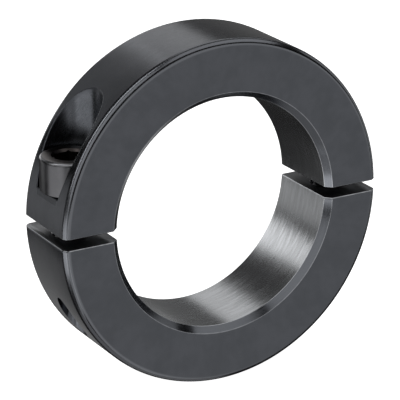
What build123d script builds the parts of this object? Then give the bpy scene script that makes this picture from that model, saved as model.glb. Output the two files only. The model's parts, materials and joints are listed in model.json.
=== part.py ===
from build123d import *
import math
import os

# Two-piece clamp shaft collar, metric, for a 40 mm shaft.
# Frame: the bore axis runs along Y, the front face looks along -Y, +Z is up, and the
# origin is the centre of the bore, half way through the width. The plane z = 0 is the split.

# Collar body
SHAFT_D = 40.0             # shaft that the bore is made for
OUTER_D = 60.0
WIDTH = 15.0
RIM_ROUND = 1.2            # rounding of both outer edges
FRONT_BORE_CHAMFER = 1.05
BACK_BORE_CHAMFER = 0.3
SPLIT_GAP = 1.75           # between the two halves, with the collar just closed on its shaft
EDGE_BREAK = 0.15          # deburred edges of the sawn faces and of the screw heads' pockets
OUTLET_BREAK = 0.1         # deburred edges where the tapped holes come out

# Clamp screws: M6 x 16 socket head cap screws, one each side of the bore
SCREW_X = 25.0             # screw axis, from the middle of the bore
THREAD_D = 6.0
THREAD_CORE_D = 5.0        # tapping drill of the lower half
SHANK_LENGTH = 16.0
SHANK_TIP_CHAMFER = 0.8
HEAD_D = 10.0
HEAD_HEIGHT = 6.0
HEAD_TOP_ROUND = 0.6
HEAD_FOOT_BREAK = 0.25
KEY_SIZE = 5.0             # hex socket, across flats
KEY_DEPTH = 3.0
KEY_TURN = 8.0             # degrees that the socket's first corner lies past +X
KEY_MOUTH_BREAK = 0.2
KEY_DRILL_ANGLE = 120.0    # point angle of the drilled socket floor

# Holes for the screws
SEAT_Z = 6.6               # floor of the counterbore, under the screw head
COUNTERBORE_D = 11.0
CLEARANCE_D = 6.6          # through the upper half's ears
COUNTERSINK = 0.25         # 45 degree mouths of the screw holes in the sawn faces
RUNNING_CLEARANCE = 0.05   # radial, between a screw and the engaged part of its tapped hole

# Travel of the upper half along its screws
CLOSED_TRAVEL = 1.7        # down, until the sawn faces all but meet


def cylinder_between(diameter, low_z, high_z):
    """Upright cylinder on the Z axis."""
    return cone_between(diameter, diameter, low_z, high_z)


def cone_between(low_diameter, high_diameter, low_z, high_z):
    """Upright cone, frustum or cylinder on the Z axis."""
    on_base = (Align.CENTER, Align.CENTER, Align.MIN)
    height = high_z - low_z
    if low_diameter == high_diameter:
        solid = Cylinder(low_diameter / 2, height, align=on_base)
    else:
        solid = Cone(low_diameter / 2, high_diameter / 2, height, align=on_base)
    return Pos(0, 0, low_z) * solid


def collar_ring():
    """Whole ring before it is sawn in two, turned as one piece about the Y axis."""
    bore_r = SHAFT_D / 2
    rim_r = OUTER_D / 2
    half_width = WIDTH / 2
    outline = Polyline(
        (bore_r, -half_width + FRONT_BORE_CHAMFER),
        (bore_r + FRONT_BORE_CHAMFER, -half_width),
        (rim_r, -half_width),
        (rim_r, half_width),
        (bore_r + BACK_BORE_CHAMFER, half_width),
        (bore_r, half_width - BACK_BORE_CHAMFER),
        close=True,
    )
    section = make_face(outline)
    rim_corners = section.vertices().sort_by(Axis.X)[-2:]
    return revolve(fillet(rim_corners, RIM_ROUND), Axis.Y)


def half_ring(side):
    """Upper (side = 1) or lower (side = -1) half of the ring, with its sawn edges broken."""
    reach = OUTER_D
    block = Pos(0, 0, side * (SPLIT_GAP + reach) / 2) * Box(2 * reach, 2 * reach, reach)
    half = collar_ring() & block
    nearest_the_split = -1 if side < 0 else 0
    sawn_faces = half.faces().filter_by(Axis.Z).group_by(Axis.Z)[nearest_the_split]
    return chamfer(sawn_faces.edges(), EDGE_BREAK)


def countersink(hole_d, side):
    """45 degree mouth of a screw hole in the sawn face of the upper (1) or lower (-1) half."""
    mouth_d = hole_d + 2 * COUNTERSINK
    sawn_z = SPLIT_GAP / 2
    cone = cone_between(mouth_d, hole_d, sawn_z, sawn_z + COUNTERSINK)
    return cone if side > 0 else mirror(cone, Plane.XY)


def counterbored_hole():
    """Room for one screw in the upper half: its head above the seat, its shank below."""
    head_room = cylinder_between(COUNTERBORE_D, SEAT_Z, OUTER_D / 2)
    shank_room = cylinder_between(CLEARANCE_D, 0, SEAT_Z)
    return head_room + shank_room + countersink(CLEARANCE_D, 1)


def tapped_hole():
    """Tapped through hole of the lower half, a plain running bore where the screw works.

    The bore ends in a cone, which follows the chamfered tip of the fully tightened screw.
    """
    engaged_d = THREAD_D + 2 * RUNNING_CLEARANCE
    tightened_tip_z = SEAT_Z - SHANK_LENGTH - CLOSED_TRAVEL
    shoulder_z = tightened_tip_z + SHANK_TIP_CHAMFER - RUNNING_CLEARANCE
    core_z = shoulder_z - (engaged_d - THREAD_CORE_D) / 2
    engaged = cylinder_between(engaged_d, shoulder_z, 0)
    shoulder = cone_between(THREAD_CORE_D, engaged_d, core_z, shoulder_z)
    outlet = cylinder_between(THREAD_CORE_D, -OUTER_D / 2, shoulder_z)
    return engaged + shoulder + outlet + countersink(engaged_d, -1)


def drilled(half, hole):
    """Half ring with the same hole at both screws."""
    for side in (-1, 1):
        half -= Pos(side * SCREW_X, 0, 0) * hole
    return half


def rim_mouths(half):
    """Edges where the screw holes break out through the outer rim."""
    cylinders = half.faces().filter_by(GeomType.CYLINDER)
    rim = cylinders.sort_by(lambda face: len(face.inner_wires()))[-1]
    return rim.inner_wires().edges()


def upper_half():
    half = drilled(half_ring(1), counterbored_hole())
    return fillet(rim_mouths(half), EDGE_BREAK)


def lower_half():
    half = drilled(half_ring(-1), tapped_hole())
    return chamfer(rim_mouths(half), OUTLET_BREAK)


def key_socket():
    """Hexagon socket with a broken mouth and a drilled, conical floor."""
    top_z = SEAT_Z + HEAD_HEIGHT
    floor_z = top_z - KEY_DEPTH
    corner_r = KEY_SIZE / math.sqrt(3)
    hexagon = RegularPolygon(corner_r, 6, rotation=KEY_TURN)
    prism = extrude(Pos(0, 0, floor_z) * hexagon, KEY_DEPTH)
    point_depth = KEY_SIZE / 2 / math.tan(math.radians(KEY_DRILL_ANGLE / 2))
    point = cone_between(0, KEY_SIZE, floor_z - point_depth, floor_z)
    widest_d = 2 * (corner_r + KEY_MOUTH_BREAK)
    mouth = cone_between(
        widest_d - 4 * KEY_MOUTH_BREAK, widest_d, top_z - 2 * KEY_MOUTH_BREAK, top_z
    )
    return prism + point + mouth


def cap_screw(x):
    """Socket head cap screw, seated in the upper half and threaded into the lower half."""
    tip_z = SEAT_Z - SHANK_LENGTH
    head = cylinder_between(HEAD_D, SEAT_Z, SEAT_Z + HEAD_HEIGHT)
    head = fillet(head.edges().sort_by(Axis.Z)[-1], HEAD_TOP_ROUND)
    head = chamfer(head.edges().sort_by(Axis.Z)[0], HEAD_FOOT_BREAK)
    shank = cylinder_between(THREAD_D, tip_z, SEAT_Z)
    shank = chamfer(shank.edges().sort_by(Axis.Z)[0], SHANK_TIP_CHAMFER)
    return Pos(x, 0, 0) * (head + shank - key_socket())


def main():
    pieces = {
        "upper_half": upper_half(),
        "lower_half": lower_half(),
        "left_screw": cap_screw(-SCREW_X),
        "right_screw": cap_screw(SCREW_X),
    }
    os.makedirs("parts", exist_ok=True)
    for name, piece in pieces.items():
        piece.label = name
        export_step(piece, f"parts/{name}.step")


if __name__ == "__main__":
    main()
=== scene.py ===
import bmesh
import bpy
import json
import math
from mathutils import Matrix, Vector

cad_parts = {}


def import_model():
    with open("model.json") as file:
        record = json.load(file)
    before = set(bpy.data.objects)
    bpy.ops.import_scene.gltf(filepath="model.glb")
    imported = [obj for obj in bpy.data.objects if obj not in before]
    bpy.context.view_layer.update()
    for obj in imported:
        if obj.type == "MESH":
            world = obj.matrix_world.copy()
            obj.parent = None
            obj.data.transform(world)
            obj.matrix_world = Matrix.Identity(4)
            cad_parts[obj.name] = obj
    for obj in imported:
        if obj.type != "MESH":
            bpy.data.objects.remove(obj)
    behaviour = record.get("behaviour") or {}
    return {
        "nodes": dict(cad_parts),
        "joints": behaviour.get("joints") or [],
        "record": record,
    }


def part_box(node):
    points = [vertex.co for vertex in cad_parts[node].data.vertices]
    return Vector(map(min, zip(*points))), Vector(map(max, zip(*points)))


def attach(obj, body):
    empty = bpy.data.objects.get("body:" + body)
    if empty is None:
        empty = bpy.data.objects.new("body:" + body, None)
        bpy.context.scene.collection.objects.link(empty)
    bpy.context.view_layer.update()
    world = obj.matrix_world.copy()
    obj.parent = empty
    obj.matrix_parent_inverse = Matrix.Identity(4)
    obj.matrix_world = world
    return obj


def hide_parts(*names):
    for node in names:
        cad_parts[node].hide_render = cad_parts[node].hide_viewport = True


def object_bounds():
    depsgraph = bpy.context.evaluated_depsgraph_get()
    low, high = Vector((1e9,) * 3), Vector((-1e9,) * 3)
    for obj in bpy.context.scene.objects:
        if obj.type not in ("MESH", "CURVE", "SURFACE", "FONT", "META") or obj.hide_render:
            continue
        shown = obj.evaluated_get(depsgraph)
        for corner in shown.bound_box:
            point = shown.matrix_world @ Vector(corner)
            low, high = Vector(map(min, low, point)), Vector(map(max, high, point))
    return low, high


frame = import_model()
CAD_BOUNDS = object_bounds()

MM = 0.001
RECORD = frame["record"]
JOINTS = {joint["name"]: joint for joint in frame["joints"]}
MOUNTS = {mount["name"]: mount for mount in RECORD["mounts"]}
COUPLINGS = RECORD["behaviour"]["couplings"]

# Sizes read from the frame
RIM_R = (CAD_BOUNDS[1][2] - CAD_BOUNDS[0][2]) / 2
HALF_WIDTH = (CAD_BOUNDS[1][1] - CAD_BOUNDS[0][1]) / 2
BORE_R = MOUNTS["shaft_bore"]["dims"]["r_mm"] * MM
SAWN_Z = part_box("lower_half")[1].z
THREAD_PITCH = 2 * math.pi / COUPLINGS[0]["ratio"]
SCREW_X = JOINTS["right_screw_turn"]["pos_m"][0]
SEAT_Z = JOINTS["right_screw_turn"]["pos_m"][2]
SCREW_LOW, SCREW_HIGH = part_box("right_screw")
HEAD_R = SCREW_X - SCREW_LOW.x

# Small details of the collar, as on the CAD halves
RIM_ROUND = 1.2 * MM
FRONT_BORE_CHAMFER = 1.05 * MM
BACK_BORE_CHAMFER = 0.3 * MM
EDGE_BREAK = 0.15 * MM
COUNTERBORE_R = 5.5 * MM
TAPPED_COUNTERSINK = 0.3 * MM
OUTLET_R = 2.5 * MM
RUNNING_BORE_END_Z = -10.35 * MM

# M6 thread, 60 degree flanks. The screw and the tapped hole share one helix, a clearance apart.
THREAD_CREST_R = 2.97 * MM
THREAD_CLEARANCE = 0.06 * MM
THREAD_DEPTH = 0.5413 * THREAD_PITCH
CREST_SHARE = 1 / 8
ROOT_SHARE = 1 / 4
TURN_STEPS = 72
SHANK_R = 3.0 * MM
TIP_CHAMFER = 0.8 * MM
NECK_LENGTH = 1.0 * MM
NECK_FILLET = 0.25 * MM
TAP_OVERSHOOT = 0.5 * MM

# Socket head
HEAD_TOP_ROUND = 0.6 * MM
HEAD_FOOT_BREAK = 0.25 * MM
KEY_ACROSS_FLATS = 5.0 * MM
KEY_DEPTH = 3.0 * MM
KEY_TURN = math.radians(8)
KEY_MOUTH_BREAK = 0.2 * MM
KEY_FLOOR_SLOPE = math.radians(30)
KEY_OVERSHOOT = 1 * MM

# Meshing
WELD_DISTANCE = 1e-7
SPARE_TURNS = 2
SMOOTH_BELOW = math.radians(32)
RING_STEPS = 180
RIM_ROUND_STEPS = 10
NECK_STEPS = 5
CROWN_STEPS = 8
EDGE_BREAK_STEPS = 2
EDGE_BREAK_ABOVE = math.radians(60)

# Camera
CAMERA_AZIMUTH = math.radians(-30)
CAMERA_ELEVATION = math.radians(20)
CAMERA_DISTANCE = 0.3942
CAMERA_LENS = 210.4
CAMERA_SHIFT = (-0.0089, 0.0028)
SENSOR_WIDTH = 36
CLIP_START, CLIP_END = 0.01, 20

# Colours
COLLAR_DARK = (0.088, 0.093, 0.103, 1)
COLLAR_LIGHT = (0.102, 0.107, 0.119, 1)
SCREW_DARK = (0.11, 0.11, 0.116, 1)
SCREW_LIGHT = (0.13, 0.13, 0.137, 1)
BORE_DARK = (0.39, 0.4, 0.41, 1)
BORE_LIGHT = (0.45, 0.46, 0.475, 1)
ROUNDED_COLOUR = (0.165, 0.172, 0.187, 1)
SAWN_COLOUR = (0.2, 0.205, 0.215, 1)
# Painted highlight: bright steel colour for thin lines along edges, in place of the glint of
# rounded edges
EDGE_HIGHLIGHT_COLOUR = (0.45, 0.46, 0.48, 1)
CHAMFER_COLOUR = (0.145, 0.152, 0.167, 1)
# Brown tint with painted shade, darkening the head's top and its socket
BROWN_AND_SHADE_COLOUR = (0.036, 0.028, 0.025, 1)
WHITE = (1, 1, 1, 1)
FLOOR_WHITE = (0.9, 0.9, 0.9, 1)
FLOOR_ROUGHNESS = 0.9
FLOOR_SIZE = 8

# Roughness of the steel from least to greatest, and what some of its surfaces add to it
COLLAR_ROUGHNESS = (0.13, 0.18)
BORED_ADDS = 0.09
RIM_ADDS = 0.08
POCKET_ADDS = 0.12
SAWN_ADDS = 0.18
SCREW_ROUGHNESS = (0.28, 0.34)

# Noises of the finish: scale, detail and roughness
TOOL_MARKS = (2.6, 3.0, 0.6)
STREAKS = (1.5, 3.0, 0.6)
COLLAR_MOTTLE = (0.22, 4.0, 0.6)
COLLAR_STAIN = (0.9, 3.0, 0.65)
SCREW_MOTTLE = (0.5, 3.0, 0.5)
SCREW_GRAIN = (6.0, 2.0, 0.5)
STAIN_SHARE = 0.35
MOTTLE_SHARE = 0.65

# Values of a noise between which a colour, a roughness and the painted highlight along an edge
# change
COLOUR_SPREAD = (0.35, 0.65)
ROUGHNESS_SPREAD = (0.3, 0.7)
EDGE_HIGHLIGHT_SPREAD = (0.3, 0.6)

# Where each surface's finish starts and stops fading, in millimetres past its edge
BORE_FADE = (0.04, 0.08)
CHAMFER_FADE = (0.03, 0.06)
POCKET_FADE = (0.03, 0.08)
SAWN_FADE = (0.025, 0.055)
# The painted edge highlights fade out this far past their edge
EDGE_HIGHLIGHT_FADE = (0.05, 0.1)

# Where these start and are full, in millimetres: the pocket's finish above the screw's seat, and
# the rounding's and the rim's past the start of the rounding
POCKET_RISE = (-1.1, -1.0)
ROUNDED_RISE = (0.0, 0.3)
RIM_RISE = (0.6, 1.1)

# Painted highlight lines along edges, in place of the glint of rounded edges: where they lie, in
# millimetres from the sawn face and in from the head's corner, and their share of the bright
# highlight colour
SPLIT_HIGHLIGHT_OFFSET = 0.095
CROWN_INSET = 0.2
CROWN_FADE = (0.1, 0.25)
EDGE_HIGHLIGHT_SHARE = (0.45, 1.0)
FACE_EDGE_SHARE = 0.5
CROWN_HIGHLIGHT_SHARE = 0.45

# Streaks run round the axis. Their stretch holds at this radius, in millimetres.
STREAK_RADIUS = 25.0
TOOL_MARK_STRETCH = 30.0
STREAK_STRETCH = 9.0

# Greatest tip of the surface by the streaks, as a slope
BORE_TIP = 0.08
RIM_TIP = 0.02

# Depth of the tool marks and of the screw's grain, in millimetres
TURNED_RELIEF = 0.0015
POCKET_RELIEF = 0.0003
SCREW_RELIEF = 0.0004

# Brown tint and painted shade on the screw's head top and in its socket, in millimetres: how far
# above the seat it is full, and the radius where it starts and stops fading
BROWN_SHADE_RISE = 0.5
BROWN_SHADE_RADIUS = (4.3, 4.75)
BROWN_SHADE_SHARE = 0.8

# Soft boxes facing the collar: distance from it in metres, polar angle from +Y and angle around
# Y from +X towards +Z in degrees, width and height in metres, and radiance.
ROOM_LIGHT = 0.02
SOFT_BOXES = (
    ("front", 0.5, 158, 315, 0.9, 0.8, 0.68),
    ("front_left", 0.5, 120, 140, 0.75, 0.3, 0.9),
    ("front_low_left", 0.5, 130, 220, 0.35, 0.3, 0.65),
    ("edge_strip", 0.5, 84, 135, 0.75, 0.1, 2.6),
    ("overhead", 0.5, 102, 65, 0.5, 0.4, 0.8),
    ("left", 0.5, 96, 202, 0.26, 0.55, 1.3),
    ("right", 0.5, 88, 0, 0.5, 0.28, 0.5),
    ("floor_bounce", 0.5, 98, 265, 0.6, 0.4, 0.4),
    ("back_top", 0.5, 34, 62, 0.2, 0.28, 0.9),
    ("back_high", 0.5, 58, 60, 0.45, 0.14, 0.6),
    ("back_left", 0.08, 21, 150, 0.022, 0.04, 1.65),
    ("back_low_left", 0.5, 34, 195, 0.18, 0.26, 0.5),
    ("back_right", 0.5, 34, 5, 0.28, 0.26, 0.13),
    ("back_face", 0.5, 47, 340, 0.4, 0.16, 0.65),
    ("low_strip", 0.085, 44, 240, 0.07, 0.022, 0.3),
    ("high_strip", 0.085, 46, 118, 0.07, 0.022, 0.4),
)


# ---------------------------------------------------------------- meshes

def new_object(name, mesh_data):
    piece = bpy.data.objects.new(name, mesh_data)
    bpy.context.scene.collection.objects.link(piece)
    return piece


def object_from_bmesh(name, bm):
    bmesh.ops.remove_doubles(bm, verts=bm.verts, dist=WELD_DISTANCE)
    bmesh.ops.dissolve_degenerate(bm, edges=bm.edges, dist=WELD_DISTANCE)
    bmesh.ops.recalc_face_normals(bm, faces=bm.faces)
    mesh_data = bpy.data.meshes.new(name)
    bm.to_mesh(mesh_data)
    bm.free()
    return new_object(name, mesh_data)


def bake_modifiers(piece):
    """Replaces the piece's mesh by what its modifiers make of it."""
    evaluated = piece.evaluated_get(bpy.context.evaluated_depsgraph_get())
    mesh_data = bpy.data.meshes.new_from_object(evaluated)
    piece.modifiers.clear()
    piece.data = mesh_data


def cut(piece, cutters):
    for cutter in cutters:
        modifier = piece.modifiers.new("cut", "BOOLEAN")
        modifier.operation = "DIFFERENCE"
        modifier.solver = "EXACT"
        modifier.object = cutter
        bake_modifiers(piece)
        bpy.data.objects.remove(cutter)


def smooth_by_angle(piece):
    piece.data.shade_smooth()
    piece.data.set_sharp_from_angle(angle=SMOOTH_BELOW)


def arc(centre, radius, start, stop, steps):
    """Points on a circle in a plane, from one angle to another in degrees."""
    angles = [math.radians(start + (stop - start) * i / steps) for i in range(steps + 1)]
    return [(centre[0] + radius * math.cos(a), centre[1] + radius * math.sin(a)) for a in angles]


def lathe(bm, outline):
    """Turns an open outline of (radius, height) points about Z. Its ends may lie on the axis."""
    rings = []
    for radius, height in outline:
        rings.append([
            bm.verts.new((
                radius * math.cos(2 * math.pi * i / TURN_STEPS),
                radius * math.sin(2 * math.pi * i / TURN_STEPS),
                height,
            ))
            for i in range(TURN_STEPS)
        ])
    for ring, above in zip(rings, rings[1:]):
        for i in range(TURN_STEPS):
            k = (i + 1) % TURN_STEPS
            bm.faces.new((ring[i], ring[k], above[k], above[i]))


def thread_profile(crest_r):
    """One pitch of the thread, as (share of the pitch, radius), with a row midway on each flank."""
    root_r = crest_r - THREAD_DEPTH
    flank = (1 - CREST_SHARE - ROOT_SHARE) / 2
    middle_r = (crest_r + root_r) / 2
    return [
        (0, crest_r),
        (CREST_SHARE, crest_r),
        (CREST_SHARE + flank / 2, middle_r),
        (CREST_SHARE + flank, root_r),
        (CREST_SHARE + flank + ROOT_SHARE, root_r),
        (1 - flank / 2, middle_r),
    ]


def helical_thread(bm, crest_r, low_z, high_z, limits):
    """Right-hand thread between two heights. limits(z) gives the least and greatest radius there.

    Each row of vertices follows the helix, so the crests and roots are clean edges. After a turn
    a row meets the one a pitch above it.
    """
    profile = thread_profile(crest_r)
    per_turn = len(profile)
    first_turn = math.floor(low_z / THREAD_PITCH) - SPARE_TURNS
    turns = math.ceil(high_z / THREAD_PITCH) - first_turn + SPARE_TURNS
    rows = []
    for j in range(turns * per_turn):
        share, radius = profile[j % per_turn]
        row = []
        for i in range(TURN_STEPS + 1):
            angle = 2 * math.pi * i / TURN_STEPS
            z = (first_turn + j // per_turn + share + i / TURN_STEPS) * THREAD_PITCH
            z = min(max(z, low_z), high_z)
            least, greatest = limits(z)
            r = min(max(radius, least), greatest)
            row.append(bm.verts.new((r * math.cos(angle), r * math.sin(angle), z)))
        rows.append(row)
    for row, above in zip(rows, rows[1:]):
        for i in range(TURN_STEPS):
            bm.faces.new((row[i], row[i + 1], above[i + 1], above[i]))


def cap_ring(bm, height):
    """Closes the open circle of edges at this height."""
    edges = [
        edge for edge in bm.edges
        if edge.is_boundary and all(abs(v.co.z - height) < WELD_DISTANCE for v in edge.verts)
    ]
    bmesh.ops.contextual_create(bm, geom=edges)


# ---------------------------------------------------------------- screws

def screw_radius_limits(z):
    """Envelope of the screw's thread: a chamfered tip and a plain neck under the head."""
    tip = THREAD_CREST_R - TIP_CHAMFER + (z - SCREW_LOW.z)
    greatest = min(THREAD_CREST_R, tip) if z < SCREW_LOW.z + TIP_CHAMFER else SHANK_R
    runout = SHANK_R - max(0.0, SEAT_Z - NECK_LENGTH - z)
    return min(max(runout, 0.0), greatest), greatest


def head_outline():
    top = SCREW_HIGH.z
    neck_centre = (SHANK_R + NECK_FILLET, SEAT_Z - NECK_FILLET)
    crown_centre = (HEAD_R - HEAD_TOP_ROUND, top - HEAD_TOP_ROUND)
    neck = arc(neck_centre, NECK_FILLET, 180, 90, NECK_STEPS)
    crown = arc(crown_centre, HEAD_TOP_ROUND, 0, 90, CROWN_STEPS)
    return [
        *neck,
        (HEAD_R - HEAD_FOOT_BREAK, SEAT_Z),
        (HEAD_R, SEAT_Z + HEAD_FOOT_BREAK),
        *crown,
        (0, top),
    ]


def key_socket_cutter():
    """Hex key's room: a hexagonal prism with a conical floor, and a cone that breaks its mouth."""
    bm = bmesh.new()
    top = SCREW_HIGH.z + KEY_OVERSHOOT
    floor = SCREW_HIGH.z - KEY_DEPTH
    corner_r = KEY_ACROSS_FLATS / math.sqrt(3)
    point = bm.verts.new((0, 0, floor - corner_r * math.tan(KEY_FLOOR_SLOPE)))
    rings = []
    for z in (floor, top):
        rings.append([
            bm.verts.new((
                corner_r * math.cos(KEY_TURN + math.radians(60 * i)),
                corner_r * math.sin(KEY_TURN + math.radians(60 * i)),
                z,
            ))
            for i in range(6)
        ])
    for i in range(6):
        k = (i + 1) % 6
        bm.faces.new((rings[0][i], rings[0][k], rings[1][k], rings[1][i]))
        bm.faces.new((point, rings[0][k], rings[0][i]))
    bm.faces.new(rings[1])
    prism = object_from_bmesh("key_prism", bm)
    bm = bmesh.new()
    depth = 2 * KEY_MOUTH_BREAK
    narrow = corner_r - KEY_MOUTH_BREAK
    lathe(bm, [
        (0, SCREW_HIGH.z - depth),
        (narrow, SCREW_HIGH.z - depth),
        (narrow + depth, SCREW_HIGH.z),
        (narrow + depth, top),
        (0, top),
    ])
    return [prism, object_from_bmesh("key_mouth", bm)]


def cap_screw(node, x):
    """Socket head cap screw with a rolled thread, in place of the CAD screw."""
    bm = bmesh.new()
    neck_z = SEAT_Z - NECK_FILLET
    helical_thread(bm, THREAD_CREST_R, SCREW_LOW.z, neck_z, screw_radius_limits)
    lathe(bm, head_outline())
    bmesh.ops.remove_doubles(bm, verts=bm.verts, dist=WELD_DISTANCE)
    cap_ring(bm, SCREW_LOW.z)
    piece = object_from_bmesh(node + "_threaded", bm)
    cut(piece, key_socket_cutter())
    smooth_by_angle(piece)
    piece.location.x = x
    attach(piece, node)
    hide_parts(node)
    return piece


# ---------------------------------------------------------------- lower half

def ring_section():
    """Outline of the turned ring, as (radius, y) points."""
    round_r = RIM_R - RIM_ROUND
    round_y = HALF_WIDTH - RIM_ROUND
    return [
        (BORE_R, -HALF_WIDTH + FRONT_BORE_CHAMFER),
        (BORE_R + FRONT_BORE_CHAMFER, -HALF_WIDTH),
        *arc((round_r, -round_y), RIM_ROUND, -90, 0, RIM_ROUND_STEPS),
        *arc((round_r, round_y), RIM_ROUND, 0, 90, RIM_ROUND_STEPS),
        (BORE_R + BACK_BORE_CHAMFER, HALF_WIDTH),
        (BORE_R, HALF_WIDTH - BACK_BORE_CHAMFER),
    ]


def lower_half_blank():
    """Lower half ring before drilling, swept from one sawn face to the other."""
    bm = bmesh.new()
    section = ring_section()
    stations = []
    for step in range(RING_STEPS + 1):
        ring = []
        for radius, y in section:
            sawn_angle = math.asin(-SAWN_Z / radius)
            sweep = math.pi - 2 * sawn_angle
            angle = math.pi + sawn_angle + sweep * step / RING_STEPS
            ring.append(bm.verts.new((radius * math.cos(angle), y, radius * math.sin(angle))))
        stations.append(ring)
    count = len(section)
    for ring, following in zip(stations, stations[1:]):
        for i in range(count):
            k = (i + 1) % count
            bm.faces.new((ring[i], ring[k], following[k], following[i]))
    bm.faces.new(stations[0])
    bm.faces.new(stations[-1])
    return object_from_bmesh("lower_half_threaded", bm)


def tapped_radius_limits(z):
    """Envelope of the tapped hole: a countersunk mouth, the thread, then a plain outlet."""
    mouth = SHANK_R + TAPPED_COUNTERSINK - max(0.0, SAWN_Z - z)
    runout = SHANK_R + 2 * THREAD_CLEARANCE - max(0.0, RUNNING_BORE_END_Z - z)
    least = max(mouth, OUTLET_R)
    return least, max(least, runout)


def tapping_cutter(x):
    bm = bmesh.new()
    low_z, high_z = -RIM_R, SAWN_Z + TAP_OVERSHOOT
    helical_thread(bm, THREAD_CREST_R + THREAD_CLEARANCE, low_z, high_z, tapped_radius_limits)
    bmesh.ops.remove_doubles(bm, verts=bm.verts, dist=WELD_DISTANCE)
    for z in (low_z, high_z):
        cap_ring(bm, z)
    cutter = object_from_bmesh("tap", bm)
    cutter.data.transform(Matrix.Translation((x, 0, 0)))
    return cutter


def lower_half():
    piece = lower_half_blank()
    bevel = piece.modifiers.new("break", "BEVEL")
    bevel.width = EDGE_BREAK
    bevel.segments = EDGE_BREAK_STEPS
    bevel.limit_method = "ANGLE"
    bevel.angle_limit = EDGE_BREAK_ABOVE
    bake_modifiers(piece)
    cut(piece, [tapping_cutter(-SCREW_X), tapping_cutter(SCREW_X)])
    smooth_by_angle(piece)
    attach(piece, "lower_half")
    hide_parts("lower_half")
    return piece


# ---------------------------------------------------------------- materials

def add(tree, kind, inputs=(), out=0, **settings):
    """Adds a shader node, sets it up, feeds its inputs and gives back one of its outputs."""
    shader_node = tree.nodes.new("ShaderNode" + kind)
    for key, value in settings.items():
        setattr(shader_node, key, value)
    for key, value in dict(inputs).items():
        if isinstance(value, bpy.types.NodeSocket):
            tree.links.new(value, shader_node.inputs[key])
        else:
            shader_node.inputs[key].default_value = value
    return shader_node.outputs[out]


def math_node(tree, operation, a, b=0.0, c=0.0):
    return add(tree, "Math", {0: a, 1: b, 2: c}, operation=operation)


def ramp(tree, value, low, high, at_low=0.0, at_high=1.0):
    """Smooth change of a value from at_low to at_high as the input goes from low to high."""
    inputs = {0: value, 1: low, 2: high, 3: at_low, 4: at_high}
    return add(tree, "MapRange", inputs, interpolation_type="SMOOTHSTEP")


def fade_past(tree, value, edge, fade):
    """1 up to the edge, and falling smoothly to 0 past it."""
    return ramp(tree, value, edge + fade[0], edge + fade[1], 1.0, 0.0)


def mix_colour(tree, share, first, second):
    inputs = {0: share, 6: first, 7: second}
    return add(tree, "Mix", inputs, out=2, data_type="RGBA")


def position_mm(tree):
    """The piece's own position in millimetres, and its x, y and z."""
    here = add(tree, "TexCoord", out="Object")
    here = add(tree, "VectorMath", {0: here, "Scale": 1000.0}, operation="SCALE")
    separate = tree.nodes.new("ShaderNodeSeparateXYZ")
    tree.links.new(here, separate.inputs[0])
    return here, separate.outputs[0], separate.outputs[1], separate.outputs[2]


def noise(tree, vector, settings):
    scale, detail, rough = settings
    inputs = {"Vector": vector, "Scale": scale, "Detail": detail, "Roughness": rough}
    return add(tree, "TexNoise", inputs)


def length_of(tree, a, b):
    """Length of the plane vector (a, b)."""
    squares = math_node(tree, "MULTIPLY_ADD", a, a, math_node(tree, "MULTIPLY", b, b))
    return math_node(tree, "SQRT", squares)


def difference(tree, value, middle):
    return math_node(tree, "ABSOLUTE", math_node(tree, "SUBTRACT", value, middle))


# Painted highlight line: 1 along an edge, fading to 0 past it
def painted_highlight_line(tree, from_edge):
    return fade_past(tree, from_edge, 0.0, EDGE_HIGHLIGHT_FADE)


def either(tree, a, b):
    return math_node(tree, "MAXIMUM", a, b)


def from_ring(tree, radius, y, ring_radius, ring_y):
    """Distance to a circle about the axis."""
    return length_of(tree, difference(tree, radius, ring_radius), difference(tree, y, ring_y))


def surface(tree, colour, roughness, height_mm, normal=None):
    """Feeds the material's one Principled BSDF. height_mm is the relief of the finish."""
    shader = tree.nodes["Principled BSDF"]
    tree.links.new(colour, shader.inputs["Base Color"])
    tree.links.new(roughness, shader.inputs["Roughness"])
    shader.inputs["Metallic"].default_value = 1.0
    relief = {"Height": height_mm, "Distance": MM, "Strength": 1.0}
    if normal:
        relief["Normal"] = normal
    tree.links.new(add(tree, "Bump", relief), shader.inputs["Normal"])


def new_material(name):
    mat = bpy.data.materials.new(name)
    mat.use_nodes = True
    return mat, mat.node_tree


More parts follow.
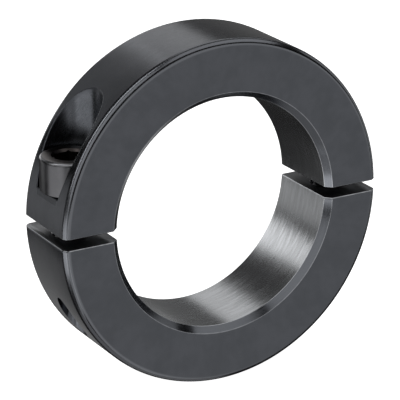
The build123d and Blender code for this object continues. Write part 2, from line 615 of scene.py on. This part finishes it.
def collar_material():
    """Black-oxided turned steel: fine tool marks run round the axis on the rim, bore and faces.

    The bore is honed brighter and the screw pockets are bored duller. Thin lines along the edges
    are painted highlights in bright steel colour.
    """
    mat, tree = new_material("black_oxide_turned")
    here, x, y, z = position_mm(tree)
    radius = length_of(tree, x, z)
    angle = math_node(tree, "ARCTAN2", z, x)

    def turned(stretch):
        along = math_node(tree, "MULTIPLY", angle, STREAK_RADIUS / stretch)
        return add(tree, "CombineXYZ", {0: radius, 1: y, 2: along})

    tool_marks = noise(tree, turned(TOOL_MARK_STRETCH), TOOL_MARKS)
    streaks = noise(tree, turned(STREAK_STRETCH), STREAKS)
    mottle = noise(tree, here, COLLAR_MOTTLE)
    stain = noise(tree, here, COLLAR_STAIN)

    bore = BORE_R / MM
    front = -HALF_WIDTH / MM
    chamfer = FRONT_BORE_CHAMFER / MM
    split = -SAWN_Z / MM
    seat = SEAT_Z / MM
    counterbore = COUNTERBORE_R / MM
    bored = fade_past(tree, radius, bore, BORE_FADE)
    off_chamfer = difference(tree, math_node(tree, "ADD", radius, y), bore + front + chamfer)
    chamfered = fade_past(tree, off_chamfer, 0.0, CHAMFER_FADE)
    from_screw = length_of(tree, difference(tree, math_node(tree, "ABSOLUTE", x), SCREW_X / MM), y)
    in_pocket = fade_past(tree, from_screw, counterbore, POCKET_FADE)
    above_seat = ramp(tree, z, seat + POCKET_RISE[0], seat + POCKET_RISE[1])
    pocket = math_node(tree, "MULTIPLY", in_pocket, above_seat)
    past_rim = math_node(tree, "SUBTRACT", radius, (RIM_R - RIM_ROUND) / MM)
    past_face = math_node(
        tree, "SUBTRACT", math_node(tree, "ABSOLUTE", y), (HALF_WIDTH - RIM_ROUND) / MM)
    rounded = ramp(tree, math_node(tree, "MINIMUM", past_rim, past_face), *ROUNDED_RISE)
    on_rim = ramp(tree, past_rim, *RIM_RISE)
    from_split = math_node(tree, "SUBTRACT", math_node(tree, "ABSOLUTE", z), split)
    sawn = fade_past(tree, from_split, 0.0, SAWN_FADE)
    # Painted highlights: thin bright lines along the bore, face and split edges in place of their
    # glint, made patchy by the stain noise
    bore_edge = painted_highlight_line(tree, from_ring(tree, radius, y, bore, front + chamfer))
    face_edge = painted_highlight_line(tree, from_ring(tree, radius, y, bore + chamfer, front))
    split_edge = painted_highlight_line(tree, difference(tree, from_split, SPLIT_HIGHLIGHT_OFFSET))
    painted_highlight = either(tree, split_edge, either(
        tree, bore_edge, math_node(tree, "MULTIPLY", FACE_EDGE_SHARE, face_edge)))
    patchy = ramp(tree, stain, *EDGE_HIGHLIGHT_SPREAD, *EDGE_HIGHLIGHT_SHARE)
    painted_highlight = math_node(tree, "MULTIPLY", painted_highlight, patchy)

    shade = math_node(tree, "MULTIPLY", mottle, MOTTLE_SHARE)
    shade = math_node(tree, "MULTIPLY_ADD", stain, STAIN_SHARE, shade)
    colour = mix_colour(tree, ramp(tree, shade, *COLOUR_SPREAD), COLLAR_DARK, COLLAR_LIGHT)
    bore_colour = mix_colour(tree, ramp(tree, streaks, *COLOUR_SPREAD), BORE_DARK, BORE_LIGHT)
    colour = mix_colour(tree, rounded, colour, ROUNDED_COLOUR)
    colour = mix_colour(tree, chamfered, colour, CHAMFER_COLOUR)
    colour = mix_colour(tree, sawn, colour, SAWN_COLOUR)
    colour = mix_colour(tree, bored, colour, bore_colour)
    colour = mix_colour(tree, painted_highlight, colour, EDGE_HIGHLIGHT_COLOUR)

    rough = ramp(tree, tool_marks, *ROUGHNESS_SPREAD, *COLLAR_ROUGHNESS)
    rough = math_node(tree, "MULTIPLY_ADD", bored, BORED_ADDS, rough)
    rough = math_node(tree, "MULTIPLY_ADD", on_rim, RIM_ADDS, rough)
    rough = math_node(tree, "MULTIPLY_ADD", pocket, POCKET_ADDS, rough)
    rough = math_node(tree, "MULTIPLY_ADD", sawn, SAWN_ADDS, rough)

    # The streaks tip the surface a little round the axis, most in the bore.
    tangent = add(tree, "CombineXYZ", {
        0: math_node(tree, "MULTIPLY", math_node(tree, "SINE", angle), -1.0),
        1: 0.0,
        2: math_node(tree, "COSINE", angle),
    })
    tip_by = math_node(tree, "MULTIPLY_ADD", bored, BORE_TIP - RIM_TIP, RIM_TIP)
    tip = math_node(tree, "MULTIPLY", math_node(tree, "SUBTRACT", streaks, 0.5), tip_by)
    normal = add(tree, "VectorMath", {
        0: tree.nodes.new("ShaderNodeNewGeometry").outputs["Normal"],
        1: add(tree, "VectorMath", {0: tangent, "Scale": tip}, operation="SCALE"),
    }, operation="ADD")
    normal = add(tree, "VectorMath", {0: normal}, operation="NORMALIZE")
    relief = math_node(tree, "MULTIPLY_ADD", pocket, POCKET_RELIEF - TURNED_RELIEF, TURNED_RELIEF)
    height = math_node(tree, "MULTIPLY", tool_marks, relief)
    surface(tree, colour, rough, height, normal)
    return mat


def screw_material():
    """Black-oxided alloy steel, with a brown tint and painted shade on top of the head and down in
    the socket, and a painted highlight ring on the crown.
    """
    mat, tree = new_material("black_oxide_screw")
    here, x, y, z = position_mm(tree)
    mottle = noise(tree, here, SCREW_MOTTLE)
    grain = noise(tree, here, SCREW_GRAIN)
    radius = length_of(tree, x, y)
    top_mm = SCREW_HIGH.z / MM
    # Brown tint with painted shade: darker brown over the head's top and down in the socket
    above_seat = ramp(tree, z, SEAT_Z / MM, SEAT_Z / MM + BROWN_SHADE_RISE)
    brown_and_shade = math_node(tree, "MULTIPLY", above_seat, fade_past(tree, radius, 0.0, BROWN_SHADE_RADIUS))
    colour = mix_colour(tree, ramp(tree, mottle, *COLOUR_SPREAD), SCREW_DARK, SCREW_LIGHT)
    brown_and_shade = math_node(tree, "MULTIPLY", brown_and_shade, BROWN_SHADE_SHARE)
    colour = mix_colour(tree, brown_and_shade, colour, BROWN_AND_SHADE_COLOUR)
    # Painted highlight: a ring of bright colour on the rounding of the head's crown
    inward = difference(tree, radius, HEAD_R / MM - CROWN_INSET)
    downward = difference(tree, z, top_mm - CROWN_INSET)
    crown = length_of(tree, inward, downward)
    painted_highlight = ramp(tree, crown, *CROWN_FADE, CROWN_HIGHLIGHT_SHARE, 0.0)
    colour = mix_colour(tree, painted_highlight, colour, EDGE_HIGHLIGHT_COLOUR)
    rough = ramp(tree, mottle, *ROUGHNESS_SPREAD, *SCREW_ROUGHNESS)
    surface(tree, colour, rough, math_node(tree, "MULTIPLY", grain, SCREW_RELIEF))
    return mat


# ---------------------------------------------------------------- stage, light and camera

def camera():
    data = bpy.data.cameras.new("camera")
    data.lens = CAMERA_LENS
    data.sensor_width = SENSOR_WIDTH
    data.shift_x, data.shift_y = CAMERA_SHIFT
    data.clip_start, data.clip_end = CLIP_START, CLIP_END
    back = Vector((
        math.sin(CAMERA_AZIMUTH) * math.cos(CAMERA_ELEVATION),
        -math.cos(CAMERA_AZIMUTH) * math.cos(CAMERA_ELEVATION),
        math.sin(CAMERA_ELEVATION),
    ))
    ob = bpy.data.objects.new("camera", data)
    ob.location = back * CAMERA_DISTANCE
    ob.rotation_euler = back.to_track_quat("Z", "Y").to_euler()
    bpy.context.scene.collection.objects.link(ob)
    bpy.context.scene.camera = ob


def floor():
    """Glowing white plane under the collar. Only the camera sees it, and it takes no shadow."""
    bpy.ops.mesh.primitive_plane_add(size=FLOOR_SIZE, location=(0, 0, -RIM_R))
    ob = bpy.context.object
    ob.name = "floor"
    mat, tree = new_material("floor_white")
    shader = tree.nodes["Principled BSDF"]
    shader.inputs["Base Color"].default_value = FLOOR_WHITE
    shader.inputs["Roughness"].default_value = FLOOR_ROUGHNESS
    shader.inputs["Emission Color"].default_value = WHITE
    shader.inputs["Emission Strength"].default_value = 1.0
    ob.data.materials.append(mat)
    ob.visible_diffuse = ob.visible_glossy = ob.visible_shadow = False


def world():
    """White behind the collar for the camera, and a dim room for everything else."""
    room = bpy.data.worlds.new("studio")
    bpy.context.scene.world = room
    room.use_nodes = True
    tree = room.node_tree
    seen = add(tree, "LightPath", out="Is Camera Ray")
    strength = math_node(tree, "MULTIPLY_ADD", seen, 1.0 - ROOM_LIGHT, ROOM_LIGHT)
    background = tree.nodes["Background"]
    background.inputs["Color"].default_value = WHITE
    tree.links.new(strength, background.inputs["Strength"])


def soft_box(name, distance, polar, around, width, height, radiance):
    """Flat light facing the collar. polar is from +Y and around from +X to +Z, both in degrees."""
    polar, around = math.radians(polar), math.radians(around)
    direction = Vector((
        math.sin(polar) * math.cos(around),
        math.cos(polar),
        math.sin(polar) * math.sin(around),
    ))
    radial = Vector((
        math.cos(polar) * math.cos(around),
        -math.sin(polar),
        math.cos(polar) * math.sin(around),
    ))
    data = bpy.data.lights.new(name, "AREA")
    data.shape = "RECTANGLE"
    data.size, data.size_y = width, height
    data.energy = radiance * math.pi * width * height
    ob = bpy.data.objects.new(name, data)
    across = radial.cross(direction)
    ob.matrix_world = Matrix((
        (across.x, radial.x, direction.x, direction.x * distance),
        (across.y, radial.y, direction.y, direction.y * distance),
        (across.z, radial.z, direction.z, direction.z * distance),
        (0, 0, 0, 1),
    ))
    ob.visible_camera = False
    bpy.context.scene.collection.objects.link(ob)


def studio_lights():
    for name, *placing in SOFT_BOXES:
        soft_box("soft_box_" + name, *placing)


def give(piece, mat):
    piece.data.materials.clear()
    piece.data.materials.append(mat)


camera()
floor()
world()
studio_lights()
turned_steel = collar_material()
for piece in (lower_half(), frame["nodes"]["upper_half"]):
    give(piece, turned_steel)
screw_steel = screw_material()
for piece in (cap_screw("left_screw", -SCREW_X), cap_screw("right_screw", SCREW_X)):
    give(piece, screw_steel)
bpy.context.scene.view_settings.view_transform = "Standard"
